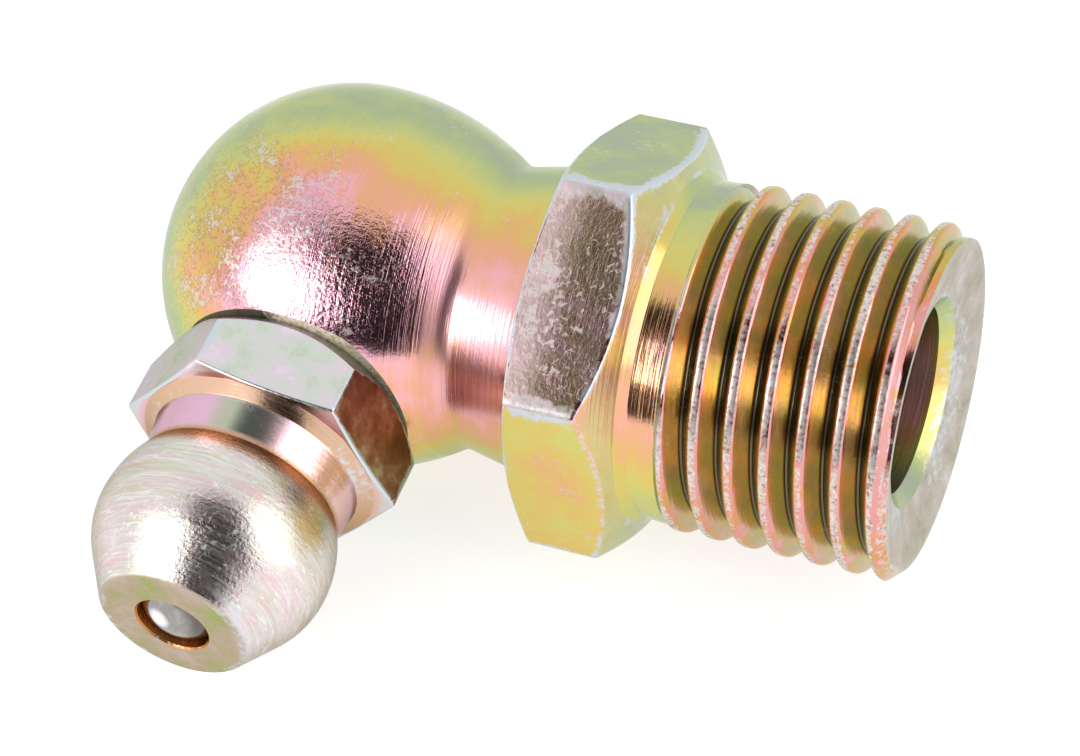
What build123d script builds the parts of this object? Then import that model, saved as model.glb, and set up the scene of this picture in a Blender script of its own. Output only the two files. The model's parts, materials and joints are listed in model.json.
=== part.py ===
from build123d import *
from math import acos, atan2, cos, degrees, hypot, radians, sin, sqrt, tan
import os

# Angled grease nipple (90 degrees), lengths in millimetres, angles in degrees.
# An elbow body is turned about X, and a straight nipple with its check valve is pressed into
# its ball along -Y. The two axes cross at the origin while the pieces are made. Then the whole
# lies down on its hex and its knob, and the origin moves to the start of the thread.

# elbow body, places counted along X from the crossing of the axes
ball_r = 5.56  # back of the ball
ball_flank_r = 7.6  # fuller curve between the ball's middle and the neck
crease_r = 0.8  # hollow between ball and neck
neck_taper = 11.6
neck_wide_r = 4.57  # neck where it meets the hex
hex_x = 6.85  # back face of the spanner hex
hex_flats = 11.0
hex_turn = 30.0  # one corner's direction, counted from +Y towards +Z
hex_round = 0.3  # worn roundness of the corners
hex_back_r = 5.5  # circle left by the back chamfer
hex_back_chamfer = 0.3
hex_front_x = 9.15  # where the front chamfer leaves the corners
collar_x = 9.93  # edge where the front chamfer ends
collar_r = 5.1
shank_x = 10.2
shank_back_r = 4.85
shank_front_r = 4.9  # where the thread starts

# thread M10x1, the solid keeps the outside cylinder
thread_x = 11.0
thread_d = 10.0
thread_length = 6.5
thread_chamfer = 0.3

# grease way inside the elbow
rim_width = 0.2  # flat ring left around the dished end face
dish_depth = 0.38
bore_d = 5.3
bore_floor_x = 5.0
bore_chamfer = 0.35
drill_angle = 118.0
passage_d = 3.2
socket_overrun = 0.9  # the nozzle's socket runs this far past the crossing

# nipple head, places counted from the crossing along the head's own axis
seat_h = 4.4  # flat cut into the ball
seat_r = 3.55
spigot_r = 3.0
spigot_end_h = 1.7
spigot_chamfer = 0.3
spigot_clearance = 0.01  # radial
head_hex_flats = 7.0
head_hex_round = 0.1
head_hex_turn = 47.5  # one corner's direction, counted from +X towards +Z
foot_r = 3.1  # narrow foot of the hex on the flat
foot_slope = 45.0
hex_front_h = 6.95
hex_front_chamfer = 0.1
ring_r = 3.5  # turned circle on the hex's front face
edge_h = 7.2  # sharp turned edge
groove_r = 3.06
groove_end_r = 2.9
knob_h = 10.05  # widest place of the knob
knob_r = 3.39
knob_front_r = 2.71  # curve from the widest place into the nose
nose_slope = 32.3  # between the nose cone and the axis
nose_h = 12.8

# check valve in the head
inlet_d = 2.1
inlet_depth = 0.32
inlet_break = 0.05  # small chamfer at the mouth
valve_seat_angle = 45.0  # between the seat cone and the axis
valve_bore_d = 3.3
lip_thickness = 0.4  # rolled lip behind the spring
lip_hole_d = 2.0
ball_d = 3.0
ball_clearance = 0.01
wire_d = 0.35
wire_sides = 6  # the thin wire has a many-sided section
coil_d = 2.5  # through the middle of the wire
coil_clearance = 0.01  # between the end turns and what they push on
open_turns = 6
closed_turns = 1  # at each end

thread_end = thread_x + thread_length
to_head = Rot(Z=-90)  # carries a piece turned about X onto the head's axis


def turned(*outline):
    """Body of revolution about X, from (place, radius) points that start and end on the axis."""
    return revolve(make_face(Polyline(*outline, close=True)), Axis.X)


def cylinder(r, start, end):
    return turned((start, 0), (start, r), (end, r), (end, 0))


def drilled(r, mouth, floor):
    """Round hole towards -X with the cone of a drill point under its floor."""
    tip = r / tan(radians(drill_angle / 2))
    return turned((mouth, 0), (mouth, r), (floor, r), (floor - tip, 0))


def corner_radius(flats):
    return flats / sqrt(3)


def hex_bar(flats, corner_round, corner_direction, start, end):
    """Hexagonal bar along X. The corner's direction counts from +Y towards +Z."""
    outline = RegularPolygon(corner_radius(flats), 6, rotation=corner_direction)
    outline = fillet(outline.vertices(), corner_round)
    return extrude(Plane.YZ.offset(start) * outline, end - start)


def ball_and_neck():
    """Ball whose front is fuller than a sphere, a hollow crease and a flaring neck."""
    back = Circle(ball_r) & Pos(-ball_r / 2, ball_r / 2) * Rectangle(ball_r, ball_r)
    flank = Pos(0, ball_r - ball_flank_r) * Circle(ball_flank_r)
    flank = flank & Pos(hex_x / 2, ball_r / 2) * Rectangle(hex_x, ball_r)
    neck_back_r = neck_wide_r - hex_x * tan(radians(neck_taper))
    neck = make_face(
        Polyline((0, 0), (0, neck_back_r), (hex_x, neck_wide_r), (hex_x, 0), close=True)
    )
    outline = back + flank + neck
    crease = outline.vertices().sort_by(Axis.X)[2]
    return revolve(fillet(crease, crease_r), Axis.X)


def spanner_hex():
    """Hexagon with a thin chamfer behind and a long one in front, ending in a narrow collar."""
    corner_r = corner_radius(hex_flats)
    front_slope = (corner_r - collar_r) / (collar_x - hex_front_x)
    over = hex_back_chamfer  # the cones run on past the corners
    bar = hex_bar(hex_flats, hex_round, hex_turn, hex_x, shank_x)
    envelope = turned(
        (hex_x, 0),
        (hex_x, hex_back_r),
        (hex_x + hex_back_chamfer, corner_r),
        (hex_x + hex_back_chamfer, corner_r + over),
        (hex_front_x - over / front_slope, corner_r + over),
        (collar_x, collar_r),
        (shank_x, shank_back_r),
        (shank_x, 0),
    )
    return bar & envelope


def threaded_shank():
    thread_r = thread_d / 2
    return turned(
        (hex_x, 0),
        (hex_x, shank_back_r),
        (shank_x, shank_back_r),
        (thread_x, shank_front_r),
        (thread_x, thread_r),
        (thread_end - thread_chamfer, thread_r),
        (thread_end, thread_r - thread_chamfer),
        (thread_end, 0),
    )


def grease_way():
    """Dished end face, wide bore with a chamfered mouth and the narrow passage to the socket."""
    bore_r = bore_d / 2
    mouth_x = thread_end - dish_depth
    mouth = turned(
        (mouth_x - bore_chamfer, 0),
        (mouth_x - bore_chamfer, bore_r),
        (mouth_x, bore_r + bore_chamfer),
        (thread_end, thread_d / 2 - thread_chamfer - rim_width),
        (thread_end, 0),
    )
    passage = cylinder(passage_d / 2, 0, bore_floor_x)
    return drilled(bore_r, mouth_x, bore_floor_x) + mouth + passage


def head_socket():
    """Flat seat cut into the ball, and the drilled hole that takes the head's spigot."""
    seat = cylinder(seat_r, seat_h, ball_flank_r)
    hole = drilled(spigot_r + spigot_clearance, seat_h, -socket_overrun)
    return to_head * (seat + hole)


def head_hex():
    """Small hexagon with a long chamfer behind and a dished step in front."""
    corner_r = corner_radius(head_hex_flats)
    foot_length = (corner_r - foot_r) * tan(radians(foot_slope))
    bar = hex_bar(head_hex_flats, head_hex_round, head_hex_turn, seat_h, hex_front_h)
    envelope = turned(
        (seat_h, 0),
        (seat_h, foot_r),
        (seat_h + foot_length, corner_r),
        (hex_front_h - hex_front_chamfer, corner_r),
        (hex_front_h, ring_r),
        (hex_front_h, 0),
    )
    return bar & envelope


def knob():
    """Groove and rounded knob that the grease gun's coupler grips, ending in a cone."""
    lean = radians(nose_slope)
    front_middle = (knob_h, knob_r - knob_front_r)
    nose_start = (
        front_middle[0] + knob_front_r * sin(lean),
        front_middle[1] + knob_front_r * cos(lean),
    )
    nose_end_r = nose_start[1] - (nose_h - nose_start[0]) * tan(lean)
    back_start_h = knob_h - sqrt(knob_r**2 - groove_end_r**2)
    side = Polyline(
        (nose_h, 0),
        (spigot_end_h, 0),
        (spigot_end_h, spigot_r - spigot_chamfer),
        (spigot_end_h + spigot_chamfer, spigot_r),
        (hex_front_h, spigot_r),
        (hex_front_h, ring_r),
        (edge_h, groove_r),
        (back_start_h, groove_end_r),
    )
    back = RadiusArc((back_start_h, groove_end_r), (knob_h, knob_r), knob_r)
    front = RadiusArc((knob_h, knob_r), nose_start, knob_front_r)
    nose = Polyline(nose_start, (nose_h, nose_end_r), (nose_h, 0))
    return revolve(make_face(side + back + front + nose), Axis.X)


def valve_chamber():
    """Inlet, seat cone, bore for ball and spring, and the hole through the rear lip."""
    inlet_r = inlet_d / 2
    bore_r = valve_bore_d / 2
    seat_start = nose_h - inlet_depth
    seat_end = seat_start - (bore_r - inlet_r) / tan(radians(valve_seat_angle))
    lip_h = spigot_end_h + lip_thickness
    return turned(
        (nose_h, 0),
        (nose_h, inlet_r + inlet_break),
        (nose_h - inlet_break, inlet_r),
        (seat_start, inlet_r),
        (seat_end, bore_r),
        (lip_h, bore_r),
        (lip_h, lip_hole_d / 2),
        (spigot_end_h, lip_hole_d / 2),
        (spigot_end_h, 0),
    )


def ball_place():
    """Distance of the closed ball's centre from the crossing."""
    lean = radians(valve_seat_angle)
    touch_r = ball_d / 2 * cos(lean)
    depth = inlet_depth + (touch_r - inlet_d / 2) / tan(lean) + ball_d / 2 * sin(lean)
    return nose_h - depth - ball_clearance / sin(lean)


def valve_spring():
    """Coil spring from the rear lip to the ball, with closed turns at both ends."""
    wire_r = wire_d / 2
    coil_r = coil_d / 2
    first = spigot_end_h + lip_thickness + wire_r + coil_clearance
    ball_gap = sqrt((ball_d / 2 + wire_r) ** 2 - coil_r**2)
    last = ball_place() - ball_gap - coil_clearance
    closed = closed_turns * wire_d
    opened = last - first - 2 * closed
    along = (1, 0, 0)
    path = Wire(
        [
            Helix(wire_d, closed, coil_r, (first, 0, 0), along),
            Helix(opened / open_turns, opened, coil_r, (first + closed, 0, 0), along),
            Helix(wire_d, closed, coil_r, (last - closed, 0, 0), along),
        ]
    )
    section = Plane(path @ 0, z_dir=path % 0) * RegularPolygon(wire_r, wire_sides)
    return sweep(section, path, is_frenet=True)


def lay_angle():
    """Turn about X at which the lowest hex corner and the knob touch one floor."""
    corner_middle = corner_radius(hex_flats - 2 * hex_round)
    knob_middle = knob_r - knob_front_r
    across = corner_middle - knob_middle
    drop = (knob_front_r - hex_round) / hypot(across, knob_h)
    return degrees(acos(drop) - atan2(knob_h, across))


elbow_body = ball_and_neck() + spanner_hex() + threaded_shank() - grease_way() - head_socket()
nipple_head = to_head * (head_hex() + knob() - valve_chamber())
check_ball = to_head * Pos(ball_place(), 0, 0) * Sphere(ball_d / 2)
check_spring = to_head * valve_spring()

pieces = {
    "elbow_body": elbow_body,
    "nipple_head": nipple_head,
    "check_ball": check_ball,
    "check_spring": check_spring,
}
lay = Rot(X=lay_angle()) * Pos(-thread_x, 0, 0)
os.makedirs("parts", exist_ok=True)
for name, piece in pieces.items():
    export_step(lay * piece, f"parts/{name}.step")
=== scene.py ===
import json
import math
import bmesh
import bpy
from mathutils import Matrix, Vector


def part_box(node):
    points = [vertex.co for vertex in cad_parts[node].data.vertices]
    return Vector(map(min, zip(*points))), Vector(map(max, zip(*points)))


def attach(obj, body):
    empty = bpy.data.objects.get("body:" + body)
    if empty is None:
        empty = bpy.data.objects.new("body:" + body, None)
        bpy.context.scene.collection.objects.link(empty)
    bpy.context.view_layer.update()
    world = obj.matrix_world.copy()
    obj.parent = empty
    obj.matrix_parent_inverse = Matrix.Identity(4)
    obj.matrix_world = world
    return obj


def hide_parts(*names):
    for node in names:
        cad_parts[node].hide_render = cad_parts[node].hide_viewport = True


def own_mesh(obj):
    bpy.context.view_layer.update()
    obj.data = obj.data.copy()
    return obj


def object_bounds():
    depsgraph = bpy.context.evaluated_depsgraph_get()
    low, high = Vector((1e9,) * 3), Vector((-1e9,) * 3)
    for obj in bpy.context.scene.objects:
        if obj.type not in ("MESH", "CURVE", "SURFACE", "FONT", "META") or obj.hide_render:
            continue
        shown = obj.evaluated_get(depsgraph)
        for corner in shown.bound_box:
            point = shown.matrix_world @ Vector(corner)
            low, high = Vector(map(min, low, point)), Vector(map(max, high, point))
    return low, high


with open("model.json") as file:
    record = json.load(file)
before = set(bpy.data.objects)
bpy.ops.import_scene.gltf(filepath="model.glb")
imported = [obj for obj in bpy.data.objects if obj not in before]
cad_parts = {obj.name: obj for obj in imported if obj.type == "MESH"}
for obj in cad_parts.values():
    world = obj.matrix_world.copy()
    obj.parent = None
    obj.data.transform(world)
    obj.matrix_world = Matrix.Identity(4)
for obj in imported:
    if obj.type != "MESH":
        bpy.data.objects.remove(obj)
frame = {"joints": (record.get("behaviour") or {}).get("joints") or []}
solid_low, solid_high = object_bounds()

# ---------------------------------------------------------------------------------------------
# Elbow body
# One bar of free-cutting steel, turned to a ball, a neck and a threaded shank and milled to an
# 11 mm hex between them. The M10x1 thread is rolled last, the grease way is drilled from its end
# and the head's seat across the ball, and the whole is zinc plated and yellow passivated.
# ---------------------------------------------------------------------------------------------
mm = 0.001
thread_start = 11.0 * mm  # from the crossing of the two axes, along the shank
crossing = (-thread_start, 0, 0)
head_axis_inward = frame["joints"][0]["axis"]
head_axis = tuple(-value for value in head_axis_inward)
lay_angle = math.atan2(head_axis_inward[2], head_axis_inward[1])
lay_down = Matrix.Rotation(lay_angle, 4, "X") @ Matrix.Translation(crossing)
to_head = Matrix.Rotation(math.radians(-90), 4, "Z")  # from the shank's axis to the head's
sharp_edge = math.radians(35)  # edges that turn more than this stay sharp


def arc(middle, radius, first, last, steps):
    """Points (along, out, wear) of a round stretch, its angles in degrees from the axis."""
    points = []
    for step in range(steps + 1):
        angle = math.radians(first + (last - first) * step / steps)
        along = middle[0] + radius * math.cos(angle)
        points.append((along, middle[1] + radius * math.sin(angle), 0.0))
    return points


def broken(corners, steps=4):
    """Outline through (along, out, edge round, wear) corners, each edge rounded by a short arc."""
    nearly_straight, most_of_side = 3.1, 0.45
    points = [(corners[0][0], corners[0][1], corners[0][3])]
    for before, corner, after in zip(corners, corners[1:], corners[2:]):
        edge_round, wear = corner[2:]
        here = Vector(corner[:2])
        back, ahead = Vector(before[:2]) - here, Vector(after[:2]) - here
        turn = back.angle(ahead, math.pi)
        if edge_round == 0:
            points.append((here.x, here.y, wear))
            continue
        if turn > nearly_straight:
            points.extend([(here.x, here.y, wear)] * (steps + 1))
            continue
        sides = most_of_side * back.length, most_of_side * ahead.length
        reach = min(edge_round / math.tan(turn / 2), *sides)
        radius = reach * math.tan(turn / 2)
        toward = (back.normalized() + ahead.normalized()).normalized()
        middle = here + toward * math.hypot(reach, radius)
        first = here + back.normalized() * reach - middle
        last = here + ahead.normalized() * reach - middle
        for step in range(steps + 1):
            spot = middle + first.lerp(last, step / steps).normalized() * radius
            points.append((spot.x, spot.y, wear))
    points.append((corners[-1][0], corners[-1][1], corners[-1][3]))
    return points


def even_angles(count):
    """Angles round the axis at equal steps."""
    return [math.radians(360 / count * step) for step in range(count)]


def hex_angles(corner, per_side):
    """Angles round the axis, close together at the six corners and wide apart between them."""
    angles = []
    for side in range(6):
        for step in range(per_side):
            share = (1 - math.cos(math.pi * step / per_side)) / 2
            angles.append(math.radians(corner + 60 * (side + share)))
    return angles


def from_corner(angle, corner):
    """Angle to the nearest corner of a hex bar."""
    return math.radians((math.degrees(angle) - corner + 30) % 60 - 30)


def hex_radius(angle, flats, corner, corner_round):
    """Distance from the axis to the side of a hex bar with rounded corners."""
    off = from_corner(angle, corner)
    middle = (flats / 2 - corner_round) / math.cos(math.radians(30))
    reach = middle + corner_round * math.cos(math.radians(30))
    if abs(off) < math.atan2(corner_round / 2, reach):
        return middle * math.cos(off) + math.sqrt(corner_round**2 - (middle * math.sin(off)) ** 2)
    return flats / 2 / math.cos(math.radians(30) - abs(off))


def corner_wear(angle, flats, corner, width):
    """How far the plating is rubbed off beside the long edges of a hex, from 0 to 1."""
    away = abs(from_corner(angle, corner)) * flats / math.sqrt(3)
    return math.exp(-((away / width) ** 2))


def set_out(name, data):
    """New object in the scene."""
    made = bpy.data.objects.new(name, data)
    bpy.context.scene.collection.objects.link(made)
    return made


def weld(mesh):
    """Joins points that meet, drops faces without area and turns every face outward."""
    work = bmesh.new()
    work.from_mesh(mesh)
    bmesh.ops.remove_doubles(work, verts=work.verts, dist=0.0005 * mm)
    bmesh.ops.dissolve_degenerate(work, edges=work.edges, dist=0.0002 * mm)
    bmesh.ops.recalc_face_normals(work, faces=work.faces)
    work.to_mesh(mesh)
    work.free()


def skin(name, angles, column_at, closed=False):
    """Mesh round X from one outline for each angle, all with the same number of points."""
    angles = angles + [angles[0] + 2 * math.pi]
    columns = [column_at(angle) for angle in angles]
    rows = len(columns[0])
    points = [
        (along, out * math.cos(angle), out * math.sin(angle))
        for angle, column in zip(angles, columns)
        for along, out, wear in column
    ]
    faces = []
    for side in range(len(angles) - 1):
        here, there = side * rows, (side + 1) * rows
        for row in range(rows if closed else rows - 1):
            up = (row + 1) % rows
            faces.append((here + row, there + row, there + up, here + up))
    mesh = bpy.data.meshes.new(name)
    mesh.from_pydata(points, [], faces)
    worn = mesh.attributes.new("worn", "FLOAT", "POINT")
    worn.data.foreach_set("value", [wear for column in columns for along, out, wear in column])
    weld(mesh)
    return set_out(name, mesh)


ball_r, ball_flank_r = 5.56 * mm, 7.6 * mm
crease_r = 0.8 * mm
ball_steps, flank_steps, crease_steps = 48, 26, 10
neck_taper = math.radians(11.6)
neck_wide_r = 4.57 * mm
hex_x, hex_front_x = 6.85 * mm, 9.15 * mm
hex_flats, hex_round, hex_turn = 11.0 * mm, 0.3 * mm, 30.0  # one corner's direction
hex_back_r, hex_back_chamfer = 5.5 * mm, 0.3 * mm
hex_corner_r = hex_flats / math.sqrt(3)
columns_per_flat = 44
collar_x, collar_r = 9.93 * mm, 5.1 * mm
shank_x, shank_back_r, shank_front_r = 10.2 * mm, 4.85 * mm, 4.9 * mm
thread_r, thread_end = 5.0 * mm, thread_start + 6.5 * mm
pitch, thread_depth = 1.0 * mm, 0.58 * mm
crest_half, root_half = 0.12 * mm, 0.035 * mm
crest_soft, root_soft = 0.03 * mm, 0.012 * mm
crest_angle, crest_place = math.radians(125), 14.03 * mm  # one spot on the helix
first_groove, groove_fade, shank_rise = 11.05 * mm, 0.22 * mm, 0.15 * mm
end_chamfer_x, end_lip_r = thread_end - 0.3 * mm, 4.7 * mm
end_lip_x, end_flank = end_chamfer_x + 0.1 * mm, 1.73
end_step, end_steps = 0.05 * mm, 6
crest_wear, crest_wear_fade, end_wear = 1.5, 9, 0.3
thread_steps = [0, 0.06, 0.1, 0.13, 0.16, 0.2, 0.33, 0.44, 0.47, 0.5]  # shares of the pitch
rim_r, dish_depth, dish_r = 4.5 * mm, 0.38 * mm, 3.0 * mm
bore_r, bore_floor_x, bore_chamfer = 2.65 * mm, 5.0 * mm, 0.35 * mm
passage_r = 1.6 * mm
drill_slope = math.tan(math.radians(59))


def ball_outline():
    """Back of the ball, its fuller flank, the crease and the start of the neck."""
    slope = math.tan(neck_taper)
    neck_at_zero = neck_wide_r - hex_x * slope
    flank_drop = ball_r - ball_flank_r
    rise = neck_at_zero + crease_r / math.cos(neck_taper) - flank_drop
    away = ball_flank_r + crease_r
    half = slope * rise
    square = 1 + slope**2
    crease_along = (-half + math.sqrt(half**2 - square * (rise**2 - away**2))) / square
    crease = (crease_along, flank_drop + rise + crease_along * slope)
    touch = math.degrees(math.atan2(crease[1] - flank_drop, crease[0]))
    neck_way = math.degrees(neck_taper) - 90
    points = arc((0, 0), ball_r, 180, 90, ball_steps)
    points += arc((0, flank_drop), ball_flank_r, 90, touch, flank_steps)[1:]
    points += arc(crease, crease_r, touch - 180, neck_way, crease_steps)[1:]
    return points


def hex_outline(angle):
    """Neck's end, hex with its two chamfers, collar and relief, where one angle cuts them."""
    side = hex_radius(angle, hex_flats, hex_turn, hex_round)
    knocked = 60 < math.degrees(angle) % 360 < 180  # corners that the spanner has slipped on
    width, wear = (0.45 * mm, 1.5) if knocked else (0.22 * mm, 1.0)
    rubbed = wear * corner_wear(angle, hex_flats, hex_turn, width)
    back_share = (side - hex_back_r) / (hex_corner_r - hex_back_r)
    front_share = (hex_corner_r - side) / (hex_corner_r - collar_r)
    back = hex_x + max(back_share, 0.04) * hex_back_chamfer
    front = hex_front_x + front_share * (collar_x - hex_front_x)
    return [
        (hex_x, neck_wide_r, 0.06 * mm, 0.0),
        (hex_x, min(hex_back_r, side - 0.03 * mm), 0.05 * mm, 0.5),  # back chamfer starts
        (back, side, 0.06 * mm, 1.0),
        (back + 0.13 * mm, side, 0, 0.5 * rubbed),
        (back + 0.3 * mm, side, 0, rubbed),  # flat, worn beside its long edges
        (front - 0.34 * mm, side, 0, rubbed),
        (front - 0.16 * mm, side, 0, 0.6 + 0.4 * rubbed),
        (front, side, 0.12 * mm, 1.0),  # front chamfer starts, worn for a quarter of it
        (front + 0.25 * (collar_x - front), side + 0.25 * (collar_r - side), 0, 0.25),
        (front + 0.5 * (collar_x - front), side + 0.5 * (collar_r - side), 0, 0.0),
        (collar_x, collar_r, 0.04 * mm, 0.6),
        (collar_x + 0.1 * mm, 0.63 * collar_r + 0.37 * shank_back_r, 0, 0.0),
        (shank_x, shank_back_r, 0.06 * mm, 0.0),  # relief up to the thread
        (thread_start - 0.02 * mm, shank_front_r, 0, 0.0),
    ]


def eased(excess, soft):
    """Excess over an edge, 0 below it, with the corner at the edge rounded."""
    exponent = min(excess / soft, 40)  # capped, so that the exponential stays finite
    return soft * math.log1p(math.exp(exponent))


def thread_drop(away):
    """Depth under the crest at a distance from the crest's middle, with its edges rounded."""
    slope = thread_depth / (pitch / 2 - root_half - crest_half)
    drop = eased(slope * (away - crest_half), crest_soft)
    return drop - eased(drop - thread_depth, root_soft)


def thread_height(along, lead):
    """Radius of the shank beside a helix whose crest passes the lead."""
    crest = round((along - lead) / pitch)
    away = along - lead - crest * pitch
    groove = lead + (crest + math.copysign(0.5, away)) * pitch
    share = min(max((groove - first_groove) / groove_fade, 0), 1)
    drop = thread_drop(abs(away)) * (share * share * (3 - 2 * share))
    rise = min(max((along - thread_start) / shank_rise, 0), 1)
    out = shank_front_r + (thread_r - shank_front_r) * rise - drop
    out = min(out, thread_r - max(0, along - end_chamfer_x))
    lip = end_lip_r - end_flank * max(0, end_lip_x - along)
    return max(out, lip)


def thread_column(angle):
    """One angle's cut through the helical thread, from its start to the rolled end."""
    lead = crest_place + (angle - crest_angle) / (2 * math.pi) * pitch
    offs = [-step for step in reversed(thread_steps[1:])] + thread_steps[:-1]
    column = []
    for tooth in range(-4, 5):  # past both ends of the thread
        for off in offs:
            along = lead + (tooth + off) * pitch
            along = min(max(along, thread_start), end_chamfer_x)
            wear = min(max(crest_wear - abs(off) * crest_wear_fade, 0), 1)
            if along == thread_start:
                wear = end_wear
            column.append((along, thread_height(along, lead), wear))
    for step in range(1, end_steps + 1):
        along = end_chamfer_x + step * end_step
        column.append((along, thread_height(along, lead), 0.5 if step > 2 else end_wear))
    return column


def inside_outline():
    """Dished end face, bore with its chamfer, drill cone and the passage to the cross hole."""
    mouth = thread_end - dish_depth
    tip = bore_floor_x - (bore_r - passage_r) / drill_slope
    return broken(
        [
            (thread_end, end_lip_r - 0.03 * mm, 0, 0.7),
            (thread_end, rim_r, 0.05 * mm, 0.2),  # dish
            (mouth, dish_r, 0.03 * mm, 0.5),
            (mouth - bore_chamfer, bore_r, 0.03 * mm, 0.2),  # bore
            (bore_floor_x, bore_r, 0.1 * mm, 0.0),  # drill cone
            (tip, passage_r, 0.05 * mm, 0.0),  # passage
            (0, passage_r, 0, 0.0),
            (0, 0, 0, 0.0),
        ]
    )


def elbow_column(angle):
    """One angle's whole outline, from the ball's back to the passage's end."""
    column = ball_outline()
    column += broken([(column[-1][0], column[-1][1], 0, 0.0)] + hex_outline(angle))[1:]
    return column + thread_column(angle) + inside_outline()


elbow = skin("elbow", hex_angles(hex_turn, columns_per_flat), elbow_column)

# seat and socket for the head, cut across the ball
seat_h, seat_r = 4.4 * mm, 3.55 * mm
socket_r, socket_floor = 3.01 * mm, -0.9 * mm
outside_ball, socket_sides = 8 * mm, 144


def socket_column(angle):
    """Outline of the cut: the flat seat, the socket and its drill cone, alike all round."""
    return [
        (outside_ball, 0, 0.0),
        (outside_ball, seat_r, 0.0),
        (seat_h, seat_r, 0.0),
        (seat_h, socket_r, 0.0),
        (socket_floor, socket_r, 0.0),
        (socket_floor - socket_r / drill_slope, 0, 0.0),
    ]


cutter = skin("socket_cutter", even_angles(socket_sides), socket_column)
cutter.data.transform(to_head)
cut = elbow.modifiers.new("socket", "BOOLEAN")
cut.object, cut.operation, cut.solver = cutter, "DIFFERENCE", "EXACT"
bpy.context.view_layer.update()
shaped = elbow.evaluated_get(bpy.context.evaluated_depsgraph_get())
cut_mesh = bpy.data.meshes.new_from_object(shaped)
elbow.modifiers.clear()
elbow.data = cut_mesh
weld(elbow.data)
bpy.data.objects.remove(cutter)
elbow.data.transform(lay_down)
elbow.data.shade_smooth()
elbow.data.set_sharp_from_angle(angle=sharp_edge)


def tone(red, green, blue):
    """Colour from the 0 to 255 numbers of a paint swatch, as the shader wants it."""
    parts = [value / 255 for value in (red, green, blue)]
    return tuple(p / 12.92 if p <= 0.04045 else ((p + 0.055) / 1.055) ** 2.4 for p in parts) + (1,)


def put(tree, kind, inputs=(), **settings):
    """One shader node with its settings, and its inputs as values or other nodes' outputs."""
    made = tree.nodes.new(kind)
    for name, value in settings.items():
        setattr(made, name, value)
    for socket, value in dict(inputs).items():
        if isinstance(value, bpy.types.NodeSocket):
            tree.links.new(value, made.inputs[socket])
        else:
            made.inputs[socket].default_value = value
    return made


def sum_up(tree, operation, *values, clamp=False):
    """Output of one Math node."""
    made = put(tree, "ShaderNodeMath", enumerate(values), operation=operation, use_clamp=clamp)
    return made.outputs[0]


def times(tree, *values):
    """Product of masks and numbers."""
    product = values[0]
    for value in values[1:]:
        product = sum_up(tree, "MULTIPLY", product, value)
    return product


def plus(tree, base, *shares):
    """Base value plus each mask times its amount, from (mask, amount) pairs."""
    for mask, amount in shares:
        base = sum_up(tree, "MULTIPLY_ADD", mask, amount, base)
    return base


def vector_of(tree, operation, *values):
    """Vector Math node."""
    return put(tree, "ShaderNodeVectorMath", enumerate(values), operation=operation)


def surface_spot(tree):
    """Place and normal of a point of the surface, in the frame that the object is made in."""
    spot = put(tree, "ShaderNodeTexCoord").outputs
    return spot["Object"], spot["Normal"]


def facing(tree, normal, way):
    """How squarely the surface looks one way: 1 straight along it, 0 across it."""
    return vector_of(tree, "DOT_PRODUCT", normal, way).outputs[1]


def stepped(tree, value, first, last, low=0.0, high=1.0):
    """Value that runs smoothly from low to high as the input goes from first to last."""
    inputs = {0: value, 1: first, 2: last, 3: low, 4: high}
    return put(tree, "ShaderNodeMapRange", inputs, interpolation_type="SMOOTHSTEP").outputs[0]


def stretch(tree, place, start, end):
    """Mask of a stretch, from the two places where it fades in and the two where it fades out."""
    return times(tree, stepped(tree, place, *start), stepped(tree, place, *end))


def noise(tree, place, fineness, detail, roughness=0.5, distortion=0.0):
    """Noise over a place in the piece, finer with a higher number."""
    inputs = {"Vector": place, "Scale": fineness, "Detail": detail, "Roughness": roughness}
    return put(tree, "ShaderNodeTexNoise", {**inputs, "Distortion": distortion}).outputs[0]


def between(tree, share, low, high):
    """Colour that goes from low to high with the share."""
    mixed = put(tree, "ShaderNodeMix", {0: share, 6: low, 7: high}, data_type="RGBA")
    return mixed.outputs[2]


def layered(tree, colour, *layers):
    """Colour with other colours laid over it in turn, from (mask, colour) pairs."""
    for share, layer in layers:
        colour = between(tree, share, colour, layer)
    return colour


def swatches(tree, value, stops):
    """Colour ramp over a value, from (place, swatch) stops."""
    ramp = put(tree, "ShaderNodeValToRGB", {0: value})
    marks = ramp.color_ramp.elements
    for index, (place, swatch) in enumerate(stops):
        mark = marks[index] if index < 2 else marks.new(place)
        mark.position = place
        mark.color = tone(*swatch)
    return ramp.outputs[0]


def effect(name, inputs, outputs):
    """New shader node group from its inputs' defaults and its outputs' kinds, by their labels."""
    group = bpy.data.node_groups.new(name, "ShaderNodeTree")
    for label, default in inputs.items():
        kind = "NodeSocketVector" if isinstance(default, tuple) else "NodeSocketFloat"
        socket = group.interface.new_socket(label, in_out="INPUT", socket_type=kind)
        socket.default_value = default
    for label, kind in outputs.items():
        group.interface.new_socket(label, in_out="OUTPUT", socket_type=f"NodeSocket{kind}")
    given = group.nodes.new("NodeGroupInput").outputs
    return group, given, group.nodes.new("NodeGroupOutput").inputs


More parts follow.
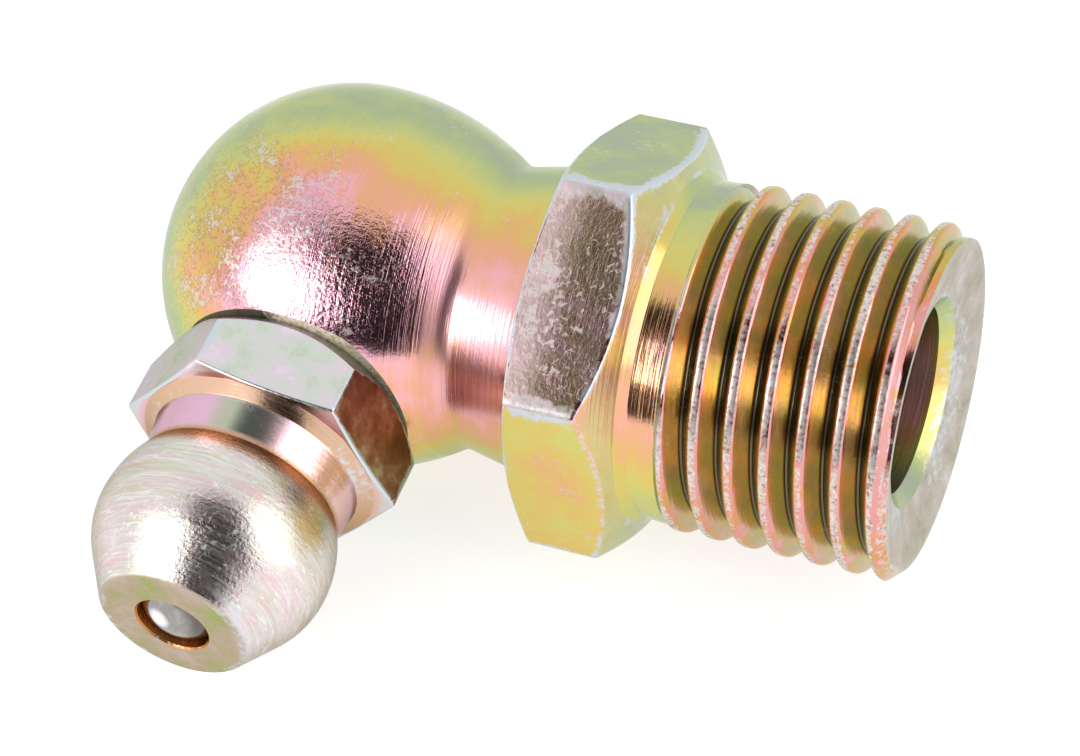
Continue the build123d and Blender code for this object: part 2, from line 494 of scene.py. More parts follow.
# The passivation's colour changes with its thickness: grey green is thinnest, then gold, and pink
# is thickest. The thickness here is partly painted sheen. It follows how squarely a face looks
# toward the camera and how far it looks up in the camera's frame, which fixes the film's
# iridescence as seen from there. Blotches of uneven film lie over it.
camera_way, camera_up = (0.30375, -0.7427, 0.59676), (-0.21435, 0.55702, 0.80235)
film_colours = [
    (0.0, (168, 176, 158)),
    (0.12, (168, 180, 148)),
    (0.26, (176, 190, 138)),
    (0.38, (192, 198, 130)),
    (0.50, (208, 202, 118)),
    (0.60, (216, 194, 108)),
    (0.70, (224, 178, 118)),
    (0.80, (232, 170, 140)),
    (0.90, (238, 176, 178)),
    (1.0, (234, 176, 194)),
]
film_defaults = {
    "Thickness": -0.075,
    "Side": 1.03,
    "Top": -0.28,
    "Blotches": 0.6,
    "Blotch Fineness": 420.0,
}
film, given, result = effect("passivation film", film_defaults, {"Color": "Color"})
place, normal = surface_spot(film)
# painted sheen: the film's colour follows the angle between the face and the camera
facing_camera = sum_up(film, "ABSOLUTE", facing(film, normal, camera_way))
facing_camera_up = facing(film, normal, camera_up)
blotch = noise(film, place, given["Blotch Fineness"], 4, 0.6)
uneven = times(film, sum_up(film, "SUBTRACT", blotch, 0.5), given["Blotches"])
thickness = times(film, facing_camera, given["Side"])
thickness = plus(film, thickness, (facing_camera_up, given["Top"]))
thickness = sum_up(film, "ADD", thickness, uneven)
thickness = sum_up(film, "ADD", thickness, given["Thickness"])
least = plus(film, -0.35, (blotch, 1.1))
thickness = sum_up(film, "MAXIMUM", thickness, least, clamp=True)
film.links.new(swatches(film, thickness, film_colours), result["Color"])

# Rings that the turning tool leaves round an axis. Their group also puts out a point's place
# along that axis and its distance from it.
rings_defaults = {"Middle": (0, 0, 0), "Axis": (1, 0, 0), "Fineness": 9000.0, "Breaks": 0.8}
rings_results = {"Height": "Float", "Along": "Float", "Out": "Float"}
rings, given, result = effect("turning rings", rings_defaults, rings_results)
place = surface_spot(rings)[0]
from_middle = vector_of(rings, "SUBTRACT", place, given["Middle"]).outputs[0]
along = vector_of(rings, "DOT_PRODUCT", from_middle, given["Axis"]).outputs[1]
on_axis = put(rings, "ShaderNodeVectorMath", {0: given["Axis"], "Scale": along}, operation="SCALE")
outward = vector_of(rings, "SUBTRACT", from_middle, on_axis.outputs[0]).outputs[0]
out = vector_of(rings, "LENGTH", outward).outputs[1]
heading = vector_of(rings, "NORMALIZE", outward).outputs[0]
heading = put(rings, "ShaderNodeSeparateXYZ", {0: heading}).outputs
lines = {
    0: times(rings, along, given["Fineness"]),
    1: times(rings, out, given["Fineness"]),
    2: times(rings, sum_up(rings, "ADD", heading[0], heading[1]), given["Breaks"]),
}
grain = {
    "Vector": put(rings, "ShaderNodeCombineXYZ", lines).outputs[0],
    "W": times(rings, heading[2], given["Breaks"]),
    "Scale": 1.0,
    "Detail": 3,
    "Roughness": 0.7,
}
grain = put(rings, "ShaderNodeTexNoise", grain, noise_dimensions="4D").outputs[0]
for label, value in (("Height", grain), ("Along", along), ("Out", out)):
    rings.links.new(value, result[label])

# plating rubbed through on edges and crests, with ragged borders
rubbing, given, result = effect("edge wear", {"Amount": 0.5, "Grit": 4000.0}, {"Worn": "Float"})
place = surface_spot(rubbing)[0]
marked = put(rubbing, "ShaderNodeAttribute", attribute_name="worn").outputs["Fac"]
grit = noise(rubbing, place, given["Grit"], 4, 0.65)
ragged = sum_up(rubbing, "SUBTRACT", times(rubbing, grit, 1.6), 0.8)
reach = sum_up(rubbing, "ADD", sum_up(rubbing, "ADD", marked, ragged), given["Amount"])
luck = stepped(rubbing, noise(rubbing, place, 380.0, 2), 0.35, 0.62, -0.38, 0.2)
reach = sum_up(rubbing, "ADD", reach, luck)
rubbing.links.new(stepped(rubbing, reach, 0.75, 1.25), result["Worn"])

# flakes and scuffs of bare zinc, each with a border
flake_results = {"Flakes": "Float", "Border": "Float"}
flaking, given, result = effect("flaked plating", {"Cover": 0.5, "Fineness": 4600.0}, flake_results)
place = surface_spot(flaking)[0]
crumbs = noise(flaking, place, given["Fineness"], 5, 0.62, 0.8)
patch = noise(flaking, place, 800.0, 3)
lift = plus(flaking, -0.47, (given["Cover"], 0.3), (patch, 0.6))
lift = sum_up(flaking, "ADD", crumbs, lift)
flaking.links.new(stepped(flaking, lift, 0.56, 0.66), result["Flakes"])
flaking.links.new(stretch(flaking, lift, (0.5, 0.56), (0.62, 0.57)), result["Border"])


def placed(tree, group, inputs=()):
    """Outputs of a node group placed in a material, with its own values."""
    return put(tree, "ShaderNodeGroup", inputs, node_tree=group).outputs


def finish(name, metallic, roughness):
    """New material, its node tree and its Principled shader with plain settings."""
    material = bpy.data.materials.new(name)
    material.use_nodes = True
    shader = material.node_tree.nodes["Principled BSDF"]
    shader.inputs["Metallic"].default_value = metallic
    shader.inputs["Roughness"].default_value = roughness
    return material, material.node_tree, shader


def swollen(tree, height, share):
    """Height scaled by a share about its middle."""
    return times(tree, sum_up(tree, "SUBTRACT", height, 0.5), share)


def raised(tree, height, strength, distance, under=None):
    """Normal of a bump, laid over another bump's normal."""
    inputs = {"Height": height, "Strength": strength, "Distance": distance}
    if under is not None:
        inputs["Normal"] = under
    return put(tree, "ShaderNodeBump", inputs).outputs[0]


def coat(tree, shader, surface):
    """Links what changes over the surface to the shader."""
    for socket, value in surface.items():
        tree.links.new(value, shader.inputs[socket])


yellow_zinc, tree, shader = finish("yellow_zinc", 1.0, 0.16)
shader.inputs["Specular Tint"].default_value = (0.82, 0.84, 0.78, 1)
turning = placed(tree, rings)
along, out = turning["Along"], turning["Out"]
place, normal = surface_spot(tree)
forward = put(tree, "ShaderNodeSeparateXYZ", {0: normal}).outputs[0]

# masks of the zones, their places counted along the axis from the thread's start
on_bar = stepped(tree, along, hex_x - thread_start - 0.2 * mm, hex_x - thread_start)
on_ball = stepped(tree, along, -6.6 * mm, -7.2 * mm)
on_neck = stretch(tree, along, (-6.6 * mm, -5.9 * mm), (-4.15 * mm, -4.4 * mm))
in_crease = stretch(tree, along, (-7.4 * mm, -7.0 * mm), (-6.2 * mm, -6.6 * mm))
near_crease = stretch(tree, along, (-9.8 * mm, -8.0 * mm), (-5.8 * mm, -6.3 * mm))
on_shank = stretch(tree, along, (-1.15 * mm, -1.05 * mm), (0.2 * mm, 0.0))
on_thread = times(
    tree, stepped(tree, along, 0.0, 0.25 * mm), stepped(tree, out, 4.1 * mm, 4.25 * mm)
)
in_root = stepped(tree, out, 4.5 * mm, 4.44 * mm)
on_end = stepped(tree, forward, 0.8, 0.93)
in_mouth = times(
    tree, stepped(tree, out, 3.06 * mm, 3.02 * mm), stepped(tree, along, 5.6 * mm, 5.7 * mm)
)
# the walls of the bore, which get painted shade
in_bore = times(
    tree,
    stepped(tree, out, bore_r + 0.05 * mm, bore_r - 0.05 * mm),
    stepped(tree, forward, 0.4, 0.1),
    stepped(tree, along, -15.0 * mm, -14.0 * mm),
)
on_flats = stepped(tree, sum_up(tree, "ABSOLUTE", forward), 0.05, 0.02)
on_flats = times(tree, on_flats, stepped(tree, out, 5.15 * mm, 5.4 * mm), on_bar)
scuffed_flat = times(tree, on_flats, stepped(tree, facing(tree, normal, camera_way), 0.75, 0.85))
scuffed_end = times(tree, scuffed_flat, stepped(tree, along, -2.6 * mm, -3.9 * mm))
on_seat = times(tree, stepped(tree, facing(tree, normal, head_axis), 0.985, 0.995), on_ball)

# two knocked places on the ball
scuffed_spot = Vector(crossing) + 5.3 * mm * Vector((-0.33, -0.71, 0.622))
dented_spot = Vector(crossing) + 5.5 * mm * Vector((0.22, -0.76, 0.61))
off_scuff = vector_of(tree, "DISTANCE", place, tuple(scuffed_spot)).outputs[1]
off_dent = vector_of(tree, "DISTANCE", place, tuple(dented_spot)).outputs[1]
on_scuff = times(tree, stepped(tree, off_scuff, 5.0 * mm, 1.5 * mm), on_ball)
on_dent = times(tree, stepped(tree, off_dent, 3.0 * mm, 1.4 * mm), on_ball)

# the film: thicker on the neck and round the knocks, thinner on the flats and in the bore's
# mouth, and streaked by the turning
film_streaks = sum_up(tree, "SUBTRACT", turning["Height"], 0.5)
film_offset = plus(
    tree,
    -0.075,
    (on_bar, -0.03),
    (on_neck, 0.14),
    (on_shank, -0.07),
    (stepped(tree, off_scuff, 3.2 * mm, 1.2 * mm), 0.1),
    (on_ball, -0.04),
    (on_scuff, 0.05),
    (stepped(tree, off_dent, 3.9 * mm, 2.4 * mm), 0.09),
    (on_flats, -0.08),
    (in_mouth, -0.3),
    (film_streaks, plus(tree, 0.08, (on_ball, 0.2))),
)
film_blotches = plus(tree, 0.65, (on_scuff, 0.8))
tint = placed(tree, film, {"Thickness": film_offset, "Blotches": film_blotches})["Color"]

# the thread's grooves, with less film towards the root and painted shade in the root, and its worn
# crests
groove_film = {"Side": 0.7, "Top": -0.1, "Blotches": 1.3, "Blotch Fineness": 900.0}
groove_film["Thickness"] = stepped(tree, out, 4.42 * mm, 5.05 * mm, 0.14, 0.44)
warmed = {0: 1.0, 6: placed(tree, film, groove_film)["Color"], 7: tone(242, 224, 202)}
warmed = put(tree, "ShaderNodeMix", warmed, data_type="RGBA", blend_type="MULTIPLY")
# painted shade: darker brown in the thread's root
groove_film_and_shade = between(tree, in_root, warmed.outputs[2], tone(104, 92, 74))
dents = noise(tree, place, 8000.0, 3, 0.6)
crest_stops = [(0.36, (140, 126, 116)), (0.44, (206, 188, 178)), (0.62, (226, 218, 214))]
bare_zinc = tone(206, 213, 221)
worn = placed(tree, rubbing, {"Amount": 0.3})["Worn"]
worn_tint = between(tree, on_thread, bare_zinc, swatches(tree, dents, crest_stops))

# the end face and the scuffed flat, which share one grit
grit = noise(tree, place, 900.0, 6, 0.7)
face_stops = [
    (0.3, (160, 162, 146)),
    (0.44, (184, 175, 162)),
    (0.58, (196, 187, 182)),
    (0.74, (216, 211, 209)),
]
flat_stops = [(0.38, (146, 144, 122)), (0.5, (192, 176, 166)), (0.6, (226, 194, 204))]
face_tint, flat_tint = swatches(tree, grit, face_stops), swatches(tree, grit, flat_stops)

# bare flakes with brown borders, thick on one side of the ball and on the flats
flake_cover = plus(
    tree,
    0.08,
    (on_ball, 0.24),
    (on_scuff, 0.32),
    (on_dent, 0.15),
    (scuffed_flat, 0.12),
    (scuffed_end, 0.35),
    (on_flats, 0.28),
)
flake_fineness = plus(tree, 4600.0, (on_ball, 1600.0))
flakes = placed(tree, flaking, {"Cover": flake_cover, "Fineness": flake_fineness})
flake_grey, border_brown = tone(212, 205, 204), tone(170, 118, 84)
# the pale pink for the flat's scuffed end is partly a painted reflection, paler than the scuffing
# alone
scuff_and_reflection_pink, bore_shade = tone(232, 208, 214), tone(50, 38, 22)

# the head's seat: bare rough metal, painted paler to stand in for light on it, with painted shade
# on its side in the gap between the ball and the head's hex
seat_stops = [(0.38, (214, 198, 150)), (0.5, (246, 238, 208)), (0.62, (255, 253, 246))]
crevice_shade = stepped(tree, plus(tree, along, (dents, 1.6 * mm)), -9.9 * mm, -10.7 * mm, 0.0, 0.9)
seat_light_and_shade = between(tree, crevice_shade, swatches(tree, dents, seat_stops), tone(62, 50, 40))

colour = layered(
    tree,
    tint,
    (on_thread, groove_film_and_shade),
    (on_end, face_tint),
    (worn, worn_tint),
    (times(tree, scuffed_flat, 0.65), flat_tint),
    # scuffing and painted reflection: the flat's end nearer the ball painted pale pink
    (times(tree, scuffed_end, 0.55), scuff_and_reflection_pink),
    (times(tree, flakes["Border"], times(tree, on_scuff, 0.6)), border_brown),
    (times(tree, flakes["Flakes"], 0.75), flake_grey),
    # painted light on the seat, with painted shade on its side in the gap
    (on_seat, seat_light_and_shade),
    # painted shade inside the bore
    (in_bore, bore_shade),
)
rough = plus(
    tree,
    0.15,
    (flakes["Flakes"], 0.2),
    (in_bore, 0.3),
    (on_end, 0.2),
    (on_seat, 0.45),
    (in_crease, 0.07),
    (on_flats, 0.08),
    (scuffed_end, 0.16),
    (in_root, 0.1),
    (worn, 0.2),
)
rings_share = plus(tree, 1.0, (on_dent, 0.55), (on_shank, 0.65), (near_crease, 1.1))
dents_share = plus(tree, 0.15, (on_flats, 0.35), (on_scuff, 0.25), (on_dent, 1.25), (on_seat, 1.0))
ringed = raised(tree, swollen(tree, turning["Height"], rings_share), 0.45, 0.02 * mm)
dented = raised(tree, swollen(tree, dents, dents_share), 0.4, 0.04 * mm, ringed)
metallic = plus(tree, 1.0, (on_seat, -0.85))
surface = {"Base Color": colour, "Metallic": metallic, "Roughness": rough, "Normal": dented}
coat(tree, shader, surface)
elbow.data.materials.append(yellow_zinc)
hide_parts("elbow_body")
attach(elbow, "fitting")

# ---------------------------------------------------------------------------------------------
# Nipple head
# A second turned piece with its own 7 mm hex, pressed into the elbow's socket. The groove and
# the rounded knob take the jaws of the grease gun, and the inlet in the nose leads to the valve.
# ---------------------------------------------------------------------------------------------
head_flats, head_round, head_turn = 7.0 * mm, 0.1 * mm, 47.5
head_corner_r = head_flats / math.sqrt(3)
foot_r = 3.1 * mm
spigot_r, spigot_end_h, spigot_chamfer = 3.0 * mm, 1.7 * mm, 0.3 * mm
front_h, front_chamfer, ring_r = 6.95 * mm, 0.1 * mm, 3.5 * mm
edge_h, groove_r, groove_end_r = 7.2 * mm, 3.06 * mm, 2.9 * mm
knob_h, knob_r, knob_front_r = 10.05 * mm, 3.39 * mm, 2.71 * mm
knob_back_steps, knob_front_steps = 24, 20
nose_slope, nose_h = 32.3, 12.8 * mm  # degrees between the nose and the axis
inlet_r, inlet_depth, inlet_break = 1.05 * mm, 0.32 * mm, 0.05 * mm
chamber_r = 1.65 * mm
lip_h, lip_hole_r = spigot_end_h + 0.4 * mm, 1.0 * mm


def spigot_and_hex(angle):
    """Outside of the head from its rear lip over the hex to the groove."""
    side = hex_radius(angle, head_flats, head_turn, head_round)
    rubbed = corner_wear(angle, head_flats, head_turn, 0.2 * mm)
    back = seat_h + side - foot_r
    front = front_h - front_chamfer * (side - ring_r) / (head_corner_r - ring_r)
    return broken(
        [
            (spigot_end_h, lip_hole_r, 0, 0.0),
            (spigot_end_h, spigot_r - spigot_chamfer, 0.05 * mm, 0.0),
            (spigot_end_h + spigot_chamfer, spigot_r, 0.05 * mm, 0.0),
            (seat_h, spigot_r, 0, 0.0),
            (seat_h, foot_r, 0.05 * mm, 0.2),  # foot chamfer
            (back - 0.15 * mm, side - 0.15 * mm, 0, 0.0),
            (back, side, 0.05 * mm, 0.9),
            (back + 0.14 * mm, side, 0, rubbed),  # flat
            (front - 0.2 * mm, side, 0, rubbed),
            (front, side, 0.08 * mm, 1.0),
            (front + 0.02 * mm, side - 0.16 * mm, 0, 0.0),
            (front_h, ring_r - 0.02 * mm, 0.03 * mm, 0.4),  # turned step
            (edge_h, groove_r, 0.02 * mm, 0.6),  # waist
            (edge_h + 0.12 * mm, groove_r - 0.02 * mm, 0, 0.0),
            (edge_h + 0.3 * mm, groove_r - 0.04 * mm, 0, 0.0),
        ]
    )[:-1]


def knob_and_nose():
    """Round knob and the start of its conical nose."""
    back_way = 90 + math.degrees(math.acos(groove_end_r / knob_r))
    middle = (knob_h, knob_r - knob_front_r)
    points = arc((knob_h, 0), knob_r, back_way, 90, knob_back_steps)
    return points + arc(middle, knob_front_r, 90, 90 - nose_slope, knob_front_steps)[1:]


def nose_and_chamber(start):
    """Nose, its flat end, the inlet, the seat cone and the chamber of the valve."""
    nose_end_r = start[1] - (nose_h - start[0]) * math.tan(math.radians(nose_slope))
    seat_start = nose_h - inlet_depth
    return broken(
        [
            (start[0], start[1], 0, 0.0),
            (nose_h, nose_end_r, 0.2 * mm, 0.5),
            (nose_h, nose_end_r - 0.3 * mm, 0, 0.0),
            (nose_h, inlet_r + inlet_break, 0, 0.3),
            (nose_h - inlet_break, inlet_r, 0, 0.3),
            (seat_start, inlet_r, 0, 0.0),
            (seat_start - (chamber_r - inlet_r), chamber_r, 0, 0.0),
            (lip_h, chamber_r, 0, 0.0),
            (lip_h, lip_hole_r, 0, 0.0),
        ]
    )[1:]


def head_column(angle):
    """One angle's closed outline, from the spigot's end over the outside and back inside."""
    column = spigot_and_hex(angle) + knob_and_nose()
    return column + nose_and_chamber(column[-1])


head = skin("head", hex_angles(head_turn, columns_per_flat), head_column, closed=True)
head.data.transform(lay_down @ to_head)
head.data.shade_smooth()
head.data.set_sharp_from_angle(angle=sharp_edge)

pale_zinc, tree, shader = finish("pale_zinc", 1.0, 0.24)
shader.inputs["Specular Tint"].default_value = (0.55, 0.52, 0.48, 1)
place, normal = surface_spot(tree)
around_head = {"Middle": crossing, "Axis": head_axis}
turning = placed(tree, rings, {**around_head, "Breaks": 2.5})
streaks = placed(tree, rings, {**around_head, "Fineness": 15000.0, "Breaks": 2.6})["Height"]
zones = placed(tree, rings, {**around_head, "Fineness": 2200.0, "Breaks": 1.3})["Height"]
scribed = placed(tree, rings, {**around_head, "Fineness": 2300.0, "Breaks": 0.5})["Height"]
height = turning["Along"]

# masks of the zones, their places counted along the head's axis from the crossing
on_hex = stepped(tree, height, 6.93 * mm, 6.9 * mm)
on_step = stretch(tree, height, (6.93 * mm, 6.98 * mm), (7.24 * mm, 7.2 * mm))
on_waist = stepped(tree, height, 8.3 * mm, 8.1 * mm)
in_groove = stretch(tree, height, (9.0 * mm, 8.6 * mm), (8.1 * mm, 8.3 * mm))
in_inlet = stepped(tree, turning["Out"], 1.14 * mm, 1.09 * mm)
on_nose = stepped(tree, height, 12.72 * mm, 12.79 * mm)
on_nose = times(tree, on_nose, sum_up(tree, "SUBTRACT", 1.0, in_inlet))
forward = put(tree, "ShaderNodeSeparateXYZ", {0: normal}).outputs[0]
brown_flat = times(tree, on_hex, stepped(tree, forward, 0.7, 0.9))

# the film is thin under silver zones, fine bright streaks and a few lines scribed round the knob
thin_film = {"Thickness": 0.38, "Side": 0.42, "Top": -0.1, "Blotches": 0.9}
thin_tint = placed(tree, film, thin_film)["Color"]
silver_stops = [
    (0.34, (222, 194, 200)),
    (0.43, (208, 212, 202)),
    (0.51, (224, 220, 221)),
    (0.6, (220, 202, 209)),
    (0.7, (232, 233, 235)),
]
silver = swatches(tree, zones, silver_stops)
silvery = stepped(tree, turning["Height"], 0.3, 0.7, 0.72, 0.97)
bright = stepped(tree, streaks, 0.52, 0.75, 0.0, 0.4)
scribed = sum_up(tree, "ABSOLUTE", sum_up(tree, "SUBTRACT", scribed, 0.5))
scribed = times(tree, stepped(tree, scribed, 0.012, 0.004), 0.6)

# the waist keeps more film, with lilac and green patches, and a dark patch on its upper side that
# is a painted reflection of something dark above it
waist_film = {"Thickness": 0.7, "Side": 0.3, "Top": 0.05, "Blotches": 1.0, "Blotch Fineness": 500.0}
waist_tint = between(tree, 0.5, placed(tree, film, waist_film)["Color"], tone(222, 206, 214))
for way, fade, most, patch_tone in (
    ((-0.62, -0.2, 0.76), (0.7, 0.98), 0.6, (222, 178, 214)),
    ((0.05, -0.265, 0.945), (0.93, 0.985), 0.75, (146, 186, 140)),
    # painted reflection: the dark patch where the waist would mirror something dark above
    ((0.27, -0.26, 0.927), (0.955, 0.99), 0.92, (52, 64, 54)),
):
    patch_share = stepped(tree, facing(tree, normal, way), *fade, 0.0, most)
    waist_tint = between(tree, patch_share, waist_tint, tone(*patch_tone))

# the hex is mottled and browner on the flat that looks along the shank, and the nose is duller
hex_grit = noise(tree, place, 700.0, 6, 0.65)
hex_stops = [
    (0.34, (196, 204, 182)),
    (0.45, (208, 216, 206)),
    (0.55, (224, 210, 222)),
    (0.7, (240, 236, 238)),
]
brown_flat_stops = [
    (0.36, (120, 80, 62)),
    (0.5, (154, 104, 78)),
    (0.6, (182, 140, 116)),
    (0.7, (218, 200, 184)),
]
nose_grit = noise(tree, place, 450.0, 6, 0.65)
nose_stops = [
    (0.36, (166, 178, 112)),
    (0.46, (186, 172, 146)),
    (0.58, (202, 184, 174)),
    (0.72, (214, 206, 206)),
]
flecks = placed(tree, flaking, {"Cover": 0.45, "Fineness": 8000.0})["Flakes"]
flecks = times(tree, flecks, plus(tree, 0.8, (on_waist, -0.7)))
worn = placed(tree, rubbing, {"Amount": 0.25})["Worn"]
streak_white, scribed_white = tone(246, 247, 249), tone(244, 245, 246)
fleck_white, step_tan = tone(228, 231, 236), tone(206, 170, 128)
# the copper for the knob's back beside the groove is a painted reflection
groove_reflection_copper, inlet_orange = tone(198, 148, 112), tone(196, 128, 70)
colour = layered(
    tree,
    thin_tint,
    (silvery, silver),
    (bright, streak_white),
    (scribed, scribed_white),
    (on_waist, waist_tint),
    (times(tree, on_step, 0.75), step_tan),
    (flecks, fleck_white),
    # painted reflection on the knob's back beside the groove
    (in_groove, groove_reflection_copper),
    (on_hex, swatches(tree, hex_grit, hex_stops)),
    (brown_flat, swatches(tree, hex_grit, brown_flat_stops)),
    (in_inlet, inlet_orange),
    (on_nose, swatches(tree, nose_grit, nose_stops)),
    (worn, bare_zinc),
)
rough = plus(
    tree,
    stepped(tree, streaks, 0.3, 0.7, 0.22, 0.32),
    (on_nose, 0.2),
    (on_waist, -0.08),
    (on_hex, 0.08),
    (brown_flat, 0.15),
    (flecks, 0.25),
)
dents = noise(tree, place, 9000.0, 3, 0.6)
ringed = raised(tree, turning["Height"], 0.2, 0.02 * mm)
streaked = swollen(tree, streaks, plus(tree, 1.0, (on_waist, -0.6)))
streaked = raised(tree, streaked, 0.16, 0.02 * mm, ringed)
dented = swollen(tree, dents, plus(tree, 1.0, (on_waist, -0.8)))
dented = raised(tree, dented, 0.38, 0.04 * mm, streaked)
coat(tree, shader, {"Base Color": colour, "Roughness": rough, "Normal": dented})
head.data.materials.append(pale_zinc)
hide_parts("nipple_head")
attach(head, "fitting")

# ---------------------------------------------------------------------------------------------
# Check ball
# A 3 mm bearing ball of hardened steel. The spring holds it against the seat behind the inlet,
# and the grease gun's pressure pushes it inward.
# ---------------------------------------------------------------------------------------------
ball_low, ball_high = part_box("check_ball")
ball_middle = (ball_low + ball_high) / 2
check_ball_r = (ball_high.x - ball_low.x) / 2
check_ball_steps = 48


def check_ball_column(angle):
    """Half circle from back to front, alike all round."""
    return arc((0, 0), check_ball_r, 180, 0, check_ball_steps)


check_ball = skin("check_ball_steel", even_angles(2 * check_ball_steps), check_ball_column)
check_ball.data.transform(Matrix.Translation(ball_middle))
check_ball.data.shade_smooth()

ground_steel, tree, shader = finish("ground_steel", 1.0, 0.35)
place, normal = surface_spot(tree)
frost = noise(tree, place, 5000.0, 4, 0.6)
frost_stops = [(0.35, (146, 143, 141)), (0.55, (156, 154, 152)), (0.7, (168, 167, 165))]
# painted highlight on one place of the ball, and painted shade farther round
highlight_way = (Vector(head_axis) + Vector((-0.233, 0.022, 0.146))).normalized()
highlight_facing = facing(tree, normal, tuple(highlight_way))
colour = layered(
    tree,
    swatches(tree, frost, frost_stops),
    (stepped(tree, highlight_facing, 0.965, 0.997), tone(240, 240, 242)),
    (stepped(tree, highlight_facing, 0.9, 0.72), tone(104, 100, 98)),
)
rough = stepped(tree, frost, 0.3, 0.7, 0.16, 0.24)
frosted = raised(tree, frost, 0.15, 0.01 * mm)
coat(tree, shader, {"Base Color": colour, "Roughness": rough, "Normal": frosted})
check_ball.data.materials.append(ground_steel)
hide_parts("check_ball")
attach(check_ball, "valve_ball")

# ---------------------------------------------------------------------------------------------
# Check spring
# Round spring wire, coiled with one closed turn at each end. It stands on the rolled lip at the
# back of the head and pushes the ball outward.
# ---------------------------------------------------------------------------------------------
wire_r, coil_r, open_turns, gap = 0.175 * mm, 1.25 * mm, 6, 0.01 * mm
ball_place = (Vector(crossing) - ball_middle).length
ball_gap = math.sqrt((check_ball_r + wire_r) ** 2 - coil_r**2)
spring_first = lip_h + wire_r + gap
spring_last = ball_place - ball_gap - gap
open_length = spring_last - spring_first - 4 * wire_r
wire_sides, per_turn = 12, 40
wire_steps = (open_turns + 2) * per_turn
wire_points, wire_faces = [], []
for step in range(wire_steps + 1):
    turns = step / per_turn
    rise = min(turns, 1) * 2 * wire_r + max(turns - open_turns - 1, 0) * 2 * wire_r
    rise += min(max(turns - 1, 0), open_turns) * open_length / open_turns
    heading = 2 * math.pi * turns
    outward = Vector((0, math.cos(heading), math.sin(heading)))
    middle = Vector((spring_first + rise, 0, 0)) + outward * coil_r
    for side in range(wire_sides):
        angle = 2 * math.pi * side / wire_sides
        around = outward * math.cos(angle) + Vector((1, 0, 0)) * math.sin(angle)
        wire_points.append(middle + around * wire_r)
for step in range(wire_steps):
    for side in range(wire_sides):
        here, beside = step * wire_sides + side, step * wire_sides + (side + 1) % wire_sides
        wire_faces.append((here, beside, beside + wire_sides, here + wire_sides))
wire_faces.append(tuple(range(wire_sides))[::-1])
wire_faces.append(tuple(range(len(wire_points) - wire_sides, len(wire_points))))
spring_mesh = bpy.data.meshes.new("check_spring_wire")
spring_mesh.from_pydata(wire_points, [], wire_faces)
weld(spring_mesh)
spring_mesh.transform(lay_down @ to_head)
spring_mesh.shade_smooth()
spring_mesh.set_sharp_from_angle(angle=math.radians(50))
spring = set_out("check_spring_wire", spring_mesh)

drawn_wire, tree, shader = finish("drawn_wire", 1.0, 0.35)
drawing = noise(tree, surface_spot(tree)[0], 7000.0, 3)
colour = swatches(tree, drawing, [(0.3, (110, 108, 106)), (0.7, (168, 166, 162))])
rough = stepped(tree, drawing, 0.3, 0.7, 0.28, 0.42)
coat(tree, shader, {"Base Color": colour, "Roughness": rough})
spring_mesh.materials.append(drawn_wire)
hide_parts("check_spring")
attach(spring, "fitting")
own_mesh(spring)

# ---------------------------------------------------------------------------------------------
# Studio
# Pale floor, white surroundings and a soft lamp on each side of the camera. Two dark cards, one
# at the camera and a low one in front of the knob, give the metal something dark to mirror.
# ---------------------------------------------------------------------------------------------


def seen_or_mirrored(tree):
    """1 for what the camera sees straight, mirrored or through glass, and 0 for lighting."""
    rays = put(tree, "ShaderNodeLightPath").outputs
    seen = sum_up(tree, "MAXIMUM", rays["Is Camera Ray"], rays["Is Glossy Ray"])
    return sum_up(tree, "MAXIMUM", seen, rays["Is Transmission Ray"])


world = bpy.data.worlds.new("studio")
bpy.context.scene.world = world
world.use_nodes = True
tree = world.node_tree
background = tree.nodes["Background"]
lighting = plus(tree, 0.7, (seen_or_mirrored(tree), 0.3))
tree.links.new(lighting, background.inputs["Strength"])
background.inputs["Color"].default_value = (1, 1, 1, 1)


def dull(name, grey):
    """Grey material without any gloss, its node tree and its shader."""
    material, tree, shader = finish(name, 0.0, 0.9)
    shader.inputs["Base Color"].default_value = (grey, grey, grey, 1)
    shader.inputs["Specular IOR Level"].default_value = 0.0
    return material, tree, shader


def flat_sheet(name, corners, material):
    """Sheet through four corners."""
    mesh = bpy.data.meshes.new(name)
    mesh.from_pydata(corners, [], [(0, 1, 2, 3)])
    mesh.materials.append(material)
    return set_out(name, mesh)


paper, tree, shader = dull("paper", 0.55)
shader.inputs["Emission Color"].default_value = (1, 1, 1, 1)
tree.links.new(times(tree, seen_or_mirrored(tree), 0.68), shader.inputs["Emission Strength"])
reach, floor_z = 0.6, solid_low.z
corners = [(-reach, -reach), (reach, -reach), (reach, reach), (-reach, reach)]
floor = flat_sheet("floor", [(x, y, floor_z) for x, y in corners], paper)

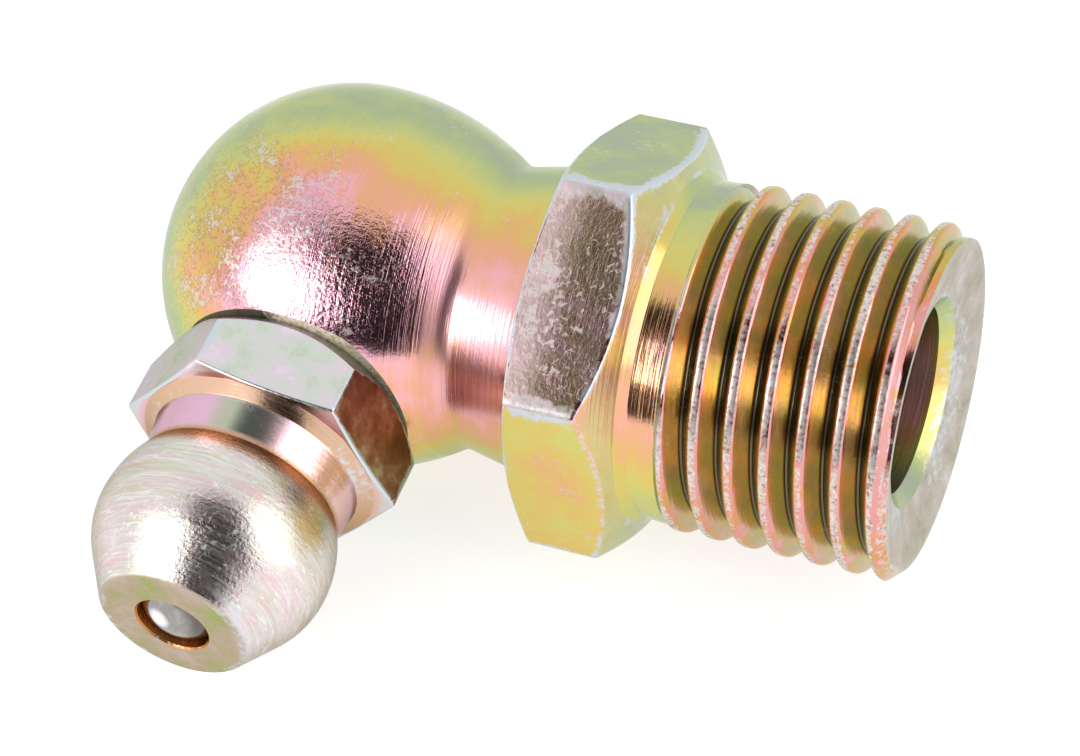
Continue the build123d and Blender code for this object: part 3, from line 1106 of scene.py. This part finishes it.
camera_data = bpy.data.cameras.new("camera")
camera_data.lens, camera_data.sensor_width = 115.06, 36
camera_data.clip_start, camera_data.clip_end = 0.005, 10
camera = set_out("camera", camera_data)
camera_round, camera_tilt, camera_roll = 22.24, 90 - 36.64, -0.71
aim, camera_away = Vector((-5.38, 0.33, -2.45)) * mm, 100 * mm
turned = Matrix.Rotation(math.radians(camera_round), 4, "Z")
turned = turned @ Matrix.Rotation(math.radians(camera_tilt), 4, "X")
turned = turned @ Matrix.Rotation(math.radians(camera_roll), 4, "Z")
camera.matrix_world = Matrix.Translation(aim) @ turned @ Matrix.Translation((0, 0, camera_away))
bpy.context.scene.camera = camera


def toward(right, up):
    """Direction by its angles to the right of the camera and above it, in degrees."""
    right, up = math.radians(right), math.radians(up)
    way = (math.sin(right) * math.cos(up), math.sin(up), math.cos(right) * math.cos(up))
    return turned.to_3x3() @ Vector(way)


lamp_away = 160  # mm
for name, right, up, wide, tall, power in (
    ("lamp_left", -43, -8, 123, 90, 0.12),
    ("lamp_right", 51, 5, 155, 175, 0.085),
):
    light = bpy.data.lights.new(name, "AREA")
    light.shape, light.size, light.size_y, light.energy = "ELLIPSE", wide * mm, tall * mm, power
    lamp = set_out(name, light)
    way = toward(right, up)
    lamp_turn = way.to_track_quat("Z", "Y").to_matrix().to_4x4()
    lamp.matrix_world = Matrix.Translation(Vector(crossing) + way * lamp_away * mm) @ lamp_turn

black = dull("black", 0.02)[0]
card_away, low_card_y = 32 * mm, -30 * mm
camera_card = [(-14, -32), (14.5, -32), (14.5, 16.3), (-14, 16.3)]
camera_card = [Vector((x * mm, y * mm, card_away)) for x, y in camera_card]
camera_card = [Vector(crossing) + turned.to_3x3() @ corner for corner in camera_card]
low_card = [(-14, -6), (-3, -6), (-3, 6.5), (-14, 6.5)]
low_card = [Vector((x * mm, low_card_y, z * mm)) for x, z in low_card]
for name, corners in (("camera_card", camera_card), ("low_card", low_card)):
    card = flat_sheet(name, corners, black)
    card.visible_camera = card.visible_diffuse = card.visible_shadow = False

bpy.context.scene.view_settings.view_transform = "Standard"
